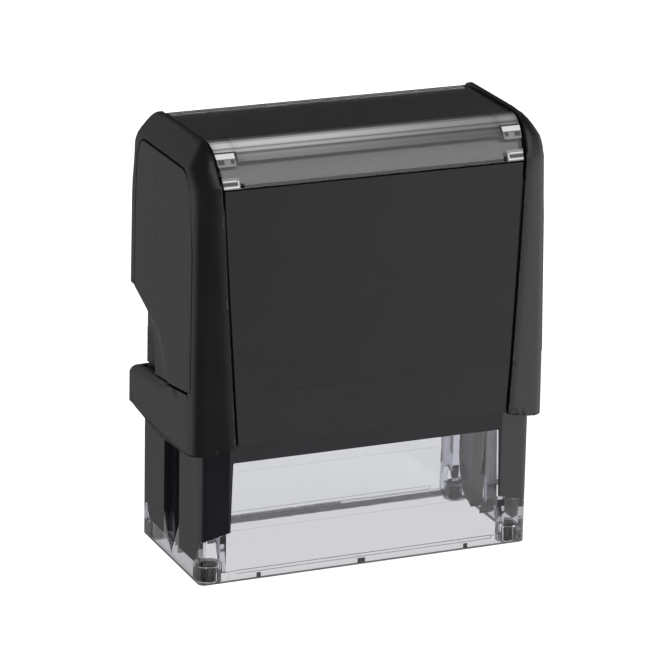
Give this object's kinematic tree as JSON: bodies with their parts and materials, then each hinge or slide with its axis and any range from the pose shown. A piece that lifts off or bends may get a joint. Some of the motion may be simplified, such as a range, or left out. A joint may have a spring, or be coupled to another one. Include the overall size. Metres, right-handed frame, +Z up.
{
  "type": "self inking stamp",
  "caption": "Self inking desk stamp: a black cap slides down over a frame with a clear base and turns a text plate from its ink pad to the paper.",
  "frame": {"origin": "on the paper, at the middle of the whole object's footprint", "axes": "+Z up, -Y towards the front panel, +X to the right as seen from the front"},
  "size_m": [0.0852, 0.0418, 0.0995],
  "materials": {
    "frame_plastic": "fine eroded texture, black",
    "clear_base_plastic": "clear polished, slightly grey",
    "foot_rubber": "soft matte",
    "cartridge_plastic": "matte, black",
    "ink_felt": "felt soaked with ink",
    "cap_plastic": "satin, black",
    "cover_plastic": "fine eroded texture, black",
    "label_card": "smooth printed card",
    "window_plastic": "clear polished",
    "spring_steel": "drawn wire",
    "button_plastic": "fine eroded texture, black",
    "platen_plastic": "satin, dark grey",
    "pin_steel": "ground",
    "foam": "closed-cell foam",
    "text_rubber": "laser-cut rubber, grey"
  },
  "bodies": {
    "frame": {"lower_frame": "frame_plastic", "clear_base": "clear_base_plastic", "base_feet": "foot_rubber"},
    "cap": {"cap_shell": "cap_plastic", "left_side_cover": "cover_plastic", "right_side_cover": "cover_plastic", "label_card": "label_card", "return_spring": "spring_steel", "left_button_spring": "spring_steel", "right_button_spring": "spring_steel"},
    "platen_unit": {"platen": "platen_plastic", "left_axle_pin": "pin_steel", "right_axle_pin": "pin_steel", "cam_followers": "pin_steel", "foam_cushion": "foam", "text_plate": "text_rubber"},
    "cartridge": {"ink_cartridge": "cartridge_plastic", "ink_pad": "ink_felt"},
    "window": {"index_window": "window_plastic"},
    "left_button": {"left_lock_button": "button_plastic"},
    "right_button": {"right_lock_button": "button_plastic"}
  },
  "joints": [
    {"name": "press_slide", "type": "slide", "parent": "frame", "child": "cap", "axis": [0, 0, -1], "range_m": [0, 0.028], "stiffness_N_per_m": 250, "springref_m": -0.025, "deforming": ["return_spring"]},
    {"name": "platen_turn", "type": "hinge", "parent": "cap", "child": "platen_unit", "pos_m": [0, 0, 0.036], "axis": [1, 0, 0], "range_deg": [0, 180]},
    {"name": "cartridge_slide", "type": "slide", "parent": "frame", "child": "cartridge", "axis": [0, 1, 0], "range_m": [0, 0.045]},
    {"name": "window_lift", "type": "slide", "parent": "cap", "child": "window", "axis": [0, 0, 1], "range_m": [0, 0.02]},
    {"name": "left_button_press", "type": "slide", "parent": "cap", "child": "left_button", "axis": [1, 0, 0], "range_m": [0, 0.001], "stiffness_N_per_m": 600, "springref_m": -0.002, "deforming": ["left_button_spring"]},
    {"name": "right_button_press", "type": "slide", "parent": "cap", "child": "right_button", "axis": [-1, 0, 0], "range_m": [0, 0.001], "stiffness_N_per_m": 600, "springref_m": -0.002, "deforming": ["right_button_spring"]}
  ],
  "couplings": [
    {"joint": "platen_turn", "follows": "press_slide", "rad_per_m": 112.2}
  ]
}
